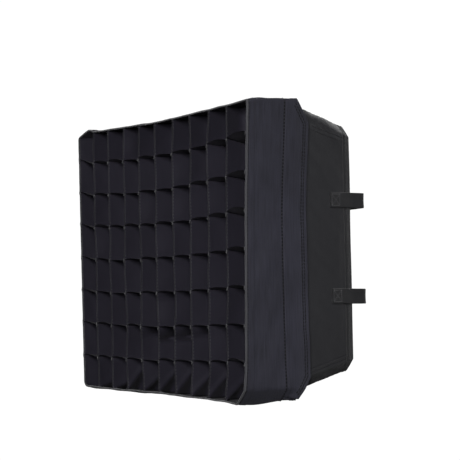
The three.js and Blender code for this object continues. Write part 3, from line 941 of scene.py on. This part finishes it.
def shell_push(flat, y):
    """Seam ridges beside the corners, panels a little full over their boards, soft gussets."""
    half_x, half_z = body_sizes(y)
    d = np.maximum(half_x - np.abs(flat[:, 0]), half_z - np.abs(flat[:, 1]))
    behind_tape = smoothstep(y, *BOARD_START)
    ridge = 0.45 * MM * np.exp(-((d - CORNER_WIDTH) / (0.55 * MM)) ** 2)
    rim = 0.8 * MM * (1 - smoothstep(d, 24 * MM, 34 * MM)) * (1 - smoothstep(y, *BAND_END))
    full = 0.8 * MM * smoothstep(d, CORNER_WIDTH, 3 * CORNER_WIDTH) * (1 - smoothstep(y, *HEM_START))
    place = np.arctan2(flat[:, 1], flat[:, 0])
    soft = wobble(place * 5, y * 22, 41) * 0.35 * MM
    corner = 1 - smoothstep(d, CORNER_WIDTH - 2 * MM, CORNER_WIDTH)
    crease = (np.abs(wobble(place * 20, y * 40, 42)) - 1.2) * 0.4 * MM * corner
    return ridge + rim + (full + 0.5 * soft + crease) * behind_tape


def build_shell():
    """The outer cloth in one ring with its corner gussets, bound at the rim and stitched at its seams."""
    ys = np.linspace(BODY_END, RIM_Y + 4 * MM, 36)
    lip = profile(RIM_Y, (2.2, 0.7), (1, 1), (0.3, 0.8), (0, 0.3), (0, -1.9), (0.3, -2.3), (1.6, -2.3),
                  (1.8, -0.8))
    section = [(y, 0.0) for y in ys] + lip + [(y, -SHELL_THICK) for y in ys[::-1]]
    points = lift_body(wrap(section, body_sizes, body_radii, body_fractions, shell_push), True)
    shell = ring_piece("body_shell", points, ["shell"])
    corners = ("top_left", "top_right", "bottom_left", "bottom_right")
    dress(shell, names("shell") + names("corner", corners), "softbox")

    seams = []
    depths = np.linspace(BODY_END - 1 * MM, RIM_Y + 24 * MM, 40)
    for sz, on_side in ((1, True), (1, False), (-1, True), (-1, False)):
        out = np.array([1, 0, 0] if on_side else [0, 0, 1])
        for offset in (2.0 * MM, -2.2 * MM):
            row = []
            for y in depths:
                half_x, half_z = body_sizes(y)
                inset = CORNER_WIDTH + offset
                flat = np.array([half_x, half_z - inset] if on_side else [half_x - inset, half_z])
                lift = shell_push(flat[None], y)[0] + 0.08 * MM
                row.append(np.array([flat[0], y, flat[1]]) + out * lift)
            for sx in (1, -1):
                flip = np.array([sx, 1, sz])
                seams.append((lift_body(np.array(row) * flip, True), np.tile(out * flip, (40, 1)) * 1.0))
    stitches("shell_seam_stitches", seams, "dark_thread", "softbox", 0.25 * MM)


def finish_boards():
    for side in SIDES:
        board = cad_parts[f"board_{side}"]
        board.data.materials.clear()
        board.data.materials.append(MATERIALS["board"])


def crinkle(flat, y):
    """Sharp small creases in the stiff silver coating, none where its edges are sewn down."""
    place = lengths(flat, 0)
    sharp = np.abs(wobble(place * 34, y * 40, 51, waves=9)) + 0.6 * np.abs(wobble(place * 80, y * 90, 52))
    edge = smoothstep(y, RIM_Y, RIM_Y + 8 * MM) * (1 - smoothstep(y, BODY_END - 6 * MM, BODY_END))
    return -0.75 * MM * sharp * edge


def build_lining():
    ys = np.linspace(BODY_END, RIM_Y + 2.2 * MM, 44)
    section = [(y, -LINING_UNDER) for y in ys] + [(y, -LINING_UNDER - 0.5 * MM) for y in ys[::-1]]
    points = lift_body(wrap(section, body_sizes, body_radii, (120, 120), crinkle))
    lining = ring_piece("silver_lining_cloth", points, ["silver"])
    dress(lining, names("lining"), "softbox")


def gathers(flat, y):
    """Small even gathers in the elastic, with some slack towards the rear opening."""
    place = lengths(flat, 0)
    depth = (y - HEM_LOW.y) / (REAR_Y - HEM_LOW.y)
    ripple = np.sin(TAU * place / (4.2 * MM) + 2.5 * wobble(place * 20, depth, 44))
    slack = wobble(place * 7, depth * 0.4, 45) * 0.35 * MM
    return (0.16 * MM * ripple * math.sin(math.pi * min(max(depth, 0.15), 1))) + slack * depth


def build_rear_hem():
    """The elastic band round the rear opening."""
    outer = profile(REAR_Y, (-0.1, -0.9), (-0.7, -0.2), (-2.2, 0), (-3.4, 0.1), (-4.6, 0), (-6.4, 0.1))
    front = profile(HEM_LOW.y, (0.9, 0), (0.1, -0.4), (0.1, -2.0), (0.9, -2.4))
    inner = profile(REAR_Y, (-4.6, -2.4), (-0.7, -2.3), (-0.1, -1.6))
    shape = (body_sizes, body_radii, (280, 280), gathers)
    points = lift_body(wrap(outer + front + inner, *shape), True)
    hem = ring_piece("elastic_hem", points, ["elastic"])
    dress(hem, ["rear_hem"], "softbox")
    seams = [loop_seam(y, 0.12 * MM, *shape, partial(lift_body, full=True))
             for y in (HEM_LOW.y + 2.1 * MM, REAR_Y - 2.4 * MM)]
    stitches("hem_stitches", seams, "dark_thread", "softbox", 0.25 * MM)


def build_tape(name, node, body, seed, shape):
    """A strip of hook or loop tape: a firm backing with a fine uneven pile."""
    low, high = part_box(node)
    half = max(high.x - low.x, high.z - low.z) / 2
    y, along = np.meshgrid(np.linspace(low.y, high.y, 14), np.linspace(-half, half, 150), indexing="ij")
    sheet = shape(along, y)
    s, t = np.meshgrid(np.linspace(0, 1, sheet.shape[1]), np.linspace(0, 1, sheet.shape[0]))
    pile = 0.024 * MM * wobble(s * 90, t * 7, seed, reach=1)
    edge = 0.15 * MM * smoothstep(np.abs(t - 0.5), 0.42, 0.5)
    sheet = sheet + grid_normals(sheet) * pile[..., None]
    dress(sheet_piece(name, sheet, TAPE_THICK - edge, ["hook"]), [node], body)


def build_tapes(side):
    """The hook tape inside a flap, and the loop tape round the rim that it grips."""

    def in_flap(along, y):
        outer = HALF_Z if side in LEVEL else HALF_X
        return hang(place_on_side(side, along, y, outer - CLOTH - TAPE_THICK + 0 * y))

    def on_rim(along, y):
        half_x, half_z = body_sizes(y)
        return lift_body(place_on_side(side, along, y, (half_z if side in LEVEL else half_x) + TAPE_THICK))

    build_tape(f"hook_strip_{side}", f"flap_hook_{side}", f"flap_{side}", 70 + TURNS[side], in_flap)
    build_tape(f"loop_strip_{side}", f"loop_tape_{side}", "softbox", 80 + TURNS[side], on_rim)


DIFFUSER_RADII = (4 * MM, 4 * MM, 5 * MM, 12 * MM)
DIFFUSER_HEM = 14 * MM


def diffuser_samples(half):
    """Places across the diffuser, closest together round the step at its hem."""
    fine = np.array([0, 0.4, 1, 1.8, 3, 5, 8, 11, 12.6, 13.4, 13.8, 14.2, 14.6, 15.4, 17]) * MM
    inner = np.linspace(-half + 20 * MM, half - 20 * MM, 60)
    return np.concatenate([-half + fine, inner, (half - fine)[::-1]])


def build_diffuser():
    _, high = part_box("front_diffuser")
    half_x, half_z, rear = high.x, high.z, high.y
    x, z = np.meshgrid(diffuser_samples(half_x), diffuser_samples(half_z))
    edge = np.minimum(half_x - np.abs(x), half_z - np.abs(z))
    hem = 1 - smoothstep(edge, DIFFUSER_HEM - 0.4 * MM, DIFFUSER_HEM + 0.2 * MM)
    seam = 0.25 * MM * np.exp(-((edge - DIFFUSER_HEM + 2 * MM) / (0.5 * MM)) ** 2)
    thickness = 0.5 * MM + 0.6 * MM * hem - seam
    slack = (1 + wobble(x * 6, z * 6, 61)) * 0.25 * MM * smoothstep(edge, DIFFUSER_HEM, 60 * MM)
    pucker = 0.12 * MM * np.sin(TAU * (x + z) / (11 * MM)) * smoothstep(edge, 15 * MM, 17 * MM)
    pucker = pucker * (1 - smoothstep(edge, 20 * MM, 40 * MM))
    y = rear - 0.02 * MM - thickness / 2 + slack + pucker - 0.15 * MM * (1 - hem)

    top_right, top_left, bottom_left, bottom_right = DIFFUSER_RADII
    radius = np.where(z > 0, np.where(x > 0, top_right, top_left), np.where(x > 0, bottom_right, bottom_left))
    dx, dz = np.abs(x) - (half_x - radius), np.abs(z) - (half_z - radius)
    corner = (dx > 0) & (dz > 0)
    pull = np.maximum(dx, dz) / np.maximum(np.hypot(dx, dz), 1e-9)
    x = np.where(corner, np.sign(x) * (half_x - radius + dx * pull), x)
    z = np.where(corner, np.sign(z) * (half_z - radius + dz * pull), z)
    cloth = sheet_piece("diffuser_cloth", lift_body(np.stack([x, y, z], -1)), thickness, ["diffuser"])
    dress(cloth, ["front_diffuser"], "diffuser")

    seams = []
    for inset in (2.5 * MM, DIFFUSER_HEM - 2 * MM):
        radii = [max(radius - 0.4 * inset, 1 * MM) for radius in DIFFUSER_RADII]
        flat, _ = rounded_loop(half_x - inset, half_z - inset, radii, (60, 48))
        for depth, out in ((rear - 1.12 * MM, -1.0), (rear, 1.0)):
            line = closed(lift_body(np.stack([flat[:, 0], np.full(len(flat), depth), flat[:, 1]], 1)))
            seams.append((line, np.tile([0, out, 0], (len(line), 1))))
    stitches("diffuser_stitches", seams, "white_thread", "diffuser", 0.22 * MM)


# ---- the straps that go round the light -----------------------------

STRAP_THICK, STRAP_BEND = 1.6 * MM, 4 * MM
SEWN_GAP, LOOSE_GAP = 0.6 * MM, 0.7 * MM
STRAP_ACROSS = np.array([-1, -0.97, -0.9, -0.8, -0.5, 0, 0.5, 0.8, 0.9, 0.97, 1])
TIP_FOLD = 12 * MM


def strap_line():
    """The middle of a right-hand strap's thickness, from its sewn end to its tip, as x and y."""
    strap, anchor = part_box("strap_right_upper"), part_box("strap_anchor_right_upper")
    side_x, rear_y = body_sizes(0)[0] + LOOSE_GAP + STRAP_THICK / 2, strap[1].y - STRAP_THICK / 2
    points = [(body_sizes(y)[0] + SEWN_GAP + STRAP_THICK / 2, y) for y in (anchor[0].y, -3 * MM)]
    radius = STRAP_BEND + STRAP_THICK / 2
    points += [(side_x, 1 * MM), (side_x, rear_y - radius)]
    for angle in np.radians(np.linspace(0, 90, 9))[1:]:
        points.append((side_x - radius * (1 - math.cos(angle)), rear_y - radius * (1 - math.sin(angle))))
    points.append((strap[0].x, rear_y))
    return np.array(points)


def build_strap(side, level):
    """Webbing sewn to the body with a crossed box, bent round behind the light, its tip folded."""
    strap_body, anchor_node = f"strap_{side}_{level}", f"strap_anchor_{side}_{level}"
    sign = 1 if side == "right" else -1
    low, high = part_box(strap_body)
    middle, half = (low.z + high.z) / 2, (high.z - low.z) / 2
    rough = strap_line()
    travelled = lengths(rough, 0)
    total = travelled[-1]
    at = np.concatenate([np.linspace(0, total - TIP_FOLD - 0.5 * MM, 90),
                         np.linspace(total - TIP_FOLD, total, 20)])
    x, y = (np.interp(at, travelled, rough[:, k]) for k in (0, 1))
    for _ in range(2):
        x[1:-1], y[1:-1] = (0.25 * (c[:-2] + 2 * c[1:-1] + c[2:]) for c in (x, y))
    w, _ = np.meshgrid(STRAP_ACROSS, at, indexing="ij")
    folded = smoothstep(at, total - TIP_FOLD - 0.3 * MM, total - TIP_FOLD)
    thickness = (1.35 + folded - 0.5 * smoothstep(np.abs(w), 0.88, 1)) * MM
    thickness = thickness - 0.3 * MM * smoothstep(at, total - 1 * MM, total)
    cup = 0.35 * MM * (w * w - 0.4) * smoothstep(at, 18 * MM, 30 * MM)
    lean = 0.4 * MM * np.sin(at / total * 5 + (0 if level == "upper" else 1.4))
    points = np.stack([sign * x + 0 * w, y + 0 * w, middle + w * half + lean], -1)
    normal = grid_normals(points)
    outward = np.sign((normal[..., 0] * sign + normal[..., 1]).mean())
    points = points + outward * normal * (cup + 0.5 * MM * folded)[..., None]
    strap = sheet_piece(f"{strap_body}_webbing", points, thickness, ["webbing"])
    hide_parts(strap_body, anchor_node)
    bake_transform(strap)

    normal = grid_normals(points) * outward
    face = points + normal * thickness[..., None] / 2

    def on_face(grid, u, v):
        """A value on the strap's outer face: u along it in metres, v across it from -1 to 1."""
        column = np.interp(u, at, np.arange(len(at)))
        row = np.interp(v, STRAP_ACROSS, np.arange(len(STRAP_ACROSS)))
        i = np.clip(row.astype(int), 0, len(STRAP_ACROSS) - 2)
        j = np.clip(column.astype(int), 0, len(at) - 2)
        a, b = (row - i)[:, None], (column - j)[:, None]
        return ((1 - a) * ((1 - b) * grid[i, j] + b * grid[i, j + 1])
                + a * ((1 - b) * grid[i + 1, j] + b * grid[i + 1, j + 1]))

    def sewn(path):
        u, v = np.concatenate([np.linspace(a, b, 10) for a, b in zip(path, path[1:])]).T
        return on_face(face, u, v), on_face(normal, u, v)

    near, far, v = 1.8 * MM, 13.6 * MM, 0.76
    box = [sewn([(near, -v), (near, v), (far, v), (far, -v), (near, -v)]),
           sewn([(near, -v), (far, v)]), sewn([(near, v), (far, -v)])]
    tip = [sewn([(total - d, -0.85), (total - d, 0.85)]) for d in (2.2 * MM, 10.6 * MM)]
    for part, seams, body in (("anchor", box, "softbox"), ("tip", tip, strap_body)):
        stitches(f"{part}_{side}_{level}_stitches", seams, "light_thread", body, 0.24 * MM, 2.2 * MM)


# ---- put together ---------------------------------------------------

make_camera()
make_studio()
make_floor()
build_skirt()
build_strips()
build_knots()
for flap_side in SIDES:
    build_flap(flap_side)
build_shell()
finish_boards()
build_lining()
build_rear_hem()
for tape_side in SIDES:
    build_tapes(tape_side)
build_diffuser()
for strap_side in ("right", "left"):
    for strap_level in ("upper", "lower"):
        build_strap(strap_side, strap_level)
